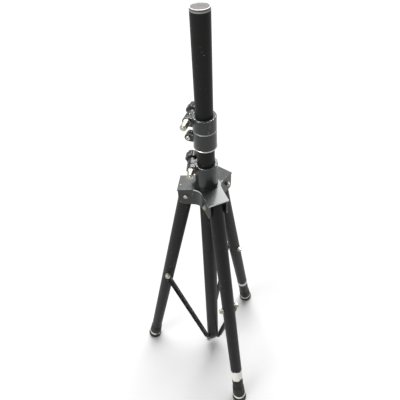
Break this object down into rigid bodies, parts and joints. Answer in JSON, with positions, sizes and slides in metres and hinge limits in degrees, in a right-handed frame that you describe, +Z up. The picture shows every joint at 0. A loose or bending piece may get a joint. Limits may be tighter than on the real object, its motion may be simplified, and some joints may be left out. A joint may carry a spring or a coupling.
{
  "type": "speaker tripod stand",
  "caption": "Folding tripod stand for a loudspeaker: telescopic black pole with clamp collar, cast hub, tube legs braced by channel struts to the centre tube, rubber feet.",
  "frame": {"origin": "on the pole's axis at floor level, the point that the three feet stand around", "axes": "+Z up along the pole, leg 1 points to -Y, legs 2 and 3 follow at 120 degree steps seen from above, counter-clockwise"},
  "size_m": [0.4244, 0.3736, 1.1892],
  "materials": {
    "cast_paint": "satin dark grey paint on a die casting",
    "tube_paint": "satin black powder coat on steel tube, scuffed",
    "strut_paint": "satin black paint on pressed steel",
    "nylon": "matt black nylon",
    "foot_rubber": "matt black rubber",
    "knob_plastic": "black moulded plastic, slightly polished by use",
    "cap_plastic": "silver grey moulded plastic",
    "zinc_steel": "zinc plated"
  },
  "bodies": {
    "hub": {"hub_casting": "cast_paint", "hub_liner": "nylon", "leg_pivot_bolts": "zinc_steel", "leg_pivot_nuts": "zinc_steel", "leg_pivot_washers": "nylon", "hub_clamp_nut": "zinc_steel", "hub_clamp_washers": "zinc_steel"},
    "hub_knob": {"hub_knob": "knob_plastic", "hub_knob_stud": "zinc_steel"},
    "leg_1": {"leg_tube_1": "tube_paint", "leg_insert_1": "nylon", "foot_1": "foot_rubber", "strut_bolt_1": "zinc_steel", "strut_nut_1": "zinc_steel", "strut_washers_1": "zinc_steel"},
    "strut_1": {"strut_1": "strut_paint"},
    "leg_2": {"leg_tube_2": "tube_paint", "leg_insert_2": "nylon", "foot_2": "foot_rubber", "strut_bolt_2": "zinc_steel", "strut_nut_2": "zinc_steel", "strut_washers_2": "zinc_steel"},
    "strut_2": {"strut_2": "strut_paint"},
    "leg_3": {"leg_tube_3": "tube_paint", "leg_insert_3": "nylon", "foot_3": "foot_rubber", "strut_bolt_3": "zinc_steel", "strut_nut_3": "zinc_steel", "strut_washers_3": "zinc_steel"},
    "strut_3": {"strut_3": "strut_paint"},
    "centre_tube": {"lower_tube": "tube_paint", "bottom_block": "cast_paint", "block_screws": "zinc_steel", "height_collar": "cast_paint", "collar_liner": "nylon", "collar_pinch_bolt": "zinc_steel", "collar_pinch_nut": "zinc_steel", "height_clamp_nut": "zinc_steel", "height_clamp_washers": "zinc_steel"},
    "height_knob": {"height_knob": "knob_plastic", "height_knob_stud": "zinc_steel"},
    "pole_guide": {"pole_bottom_plug": "nylon"},
    "pole": {"upper_pole": "tube_paint", "pole_end_cap": "cap_plastic"}
  },
  "joints": [
    {"name": "leg_fold", "type": "hinge", "parent": "hub", "child": "leg_1", "pos_m": [0, -0.0463, 0.78386], "axis": [-1, 0, 0], "range_deg": [-10.57, 22.43]},
    {"name": "strut_1_fold", "type": "hinge", "parent": "leg_1", "child": "strut_1", "pos_m": [0, -0.12269, 0.44128], "axis": [1, 0, 0], "range_deg": [-19.72, 41.84]},
    {"name": "leg_2_fold", "type": "hinge", "parent": "hub", "child": "leg_2", "pos_m": [0.0401, 0.02315, 0.78386], "axis": [0.5, -0.866, 0], "range_deg": [-10.57, 22.43]},
    {"name": "strut_2_fold", "type": "hinge", "parent": "leg_2", "child": "strut_2", "pos_m": [0.10625, 0.06134, 0.44128], "axis": [-0.5, 0.866, 0], "range_deg": [-19.72, 41.84]},
    {"name": "leg_3_fold", "type": "hinge", "parent": "hub", "child": "leg_3", "pos_m": [-0.0401, 0.02315, 0.78386], "axis": [0.5, 0.866, 0], "range_deg": [-10.57, 22.43]},
    {"name": "strut_3_fold", "type": "hinge", "parent": "leg_3", "child": "strut_3", "pos_m": [-0.10625, 0.06134, 0.44128], "axis": [-0.5, -0.866, 0], "range_deg": [-19.72, 41.84]},
    {"name": "tube_foot", "type": "hinge", "parent": "strut_1", "child": "centre_tube", "pos_m": [0, -0.012, 0.046], "axis": [-1, 0, 0], "range_deg": [-9.15, 19.41]},
    {"name": "pole_height", "type": "slide", "parent": "centre_tube", "child": "pole_guide", "axis": [0, 0, 1], "range_m": [-0.095, 0.64]},
    {"name": "pole_swivel", "type": "hinge", "parent": "pole_guide", "child": "pole", "pos_m": [0, 0, 0.1862], "axis": [0, 0, 1], "continuous": true},
    {"name": "height_knob_turn", "type": "hinge", "parent": "centre_tube", "child": "height_knob", "pos_m": [-0.02378, 0.02141, 0.975], "axis": [0.6691, 0.7431, 0], "range_deg": [0, 360]},
    {"name": "hub_knob_turn", "type": "hinge", "parent": "hub", "child": "hub_knob", "pos_m": [-0.02851, 0.01453, 0.857], "axis": [0.454, 0.891, 0], "range_deg": [0, 360]}
  ],
  "couplings": [
    {"joint": "strut_1_fold", "follows": "leg_fold", "ratio": 1.865},
    {"joint": "leg_2_fold", "follows": "leg_fold", "ratio": 1},
    {"joint": "strut_2_fold", "follows": "leg_fold", "ratio": 1.865},
    {"joint": "leg_3_fold", "follows": "leg_fold", "ratio": 1},
    {"joint": "strut_3_fold", "follows": "leg_fold", "ratio": 1.865},
    {"joint": "tube_foot", "follows": "leg_fold", "ratio": 0.865}
  ]
}
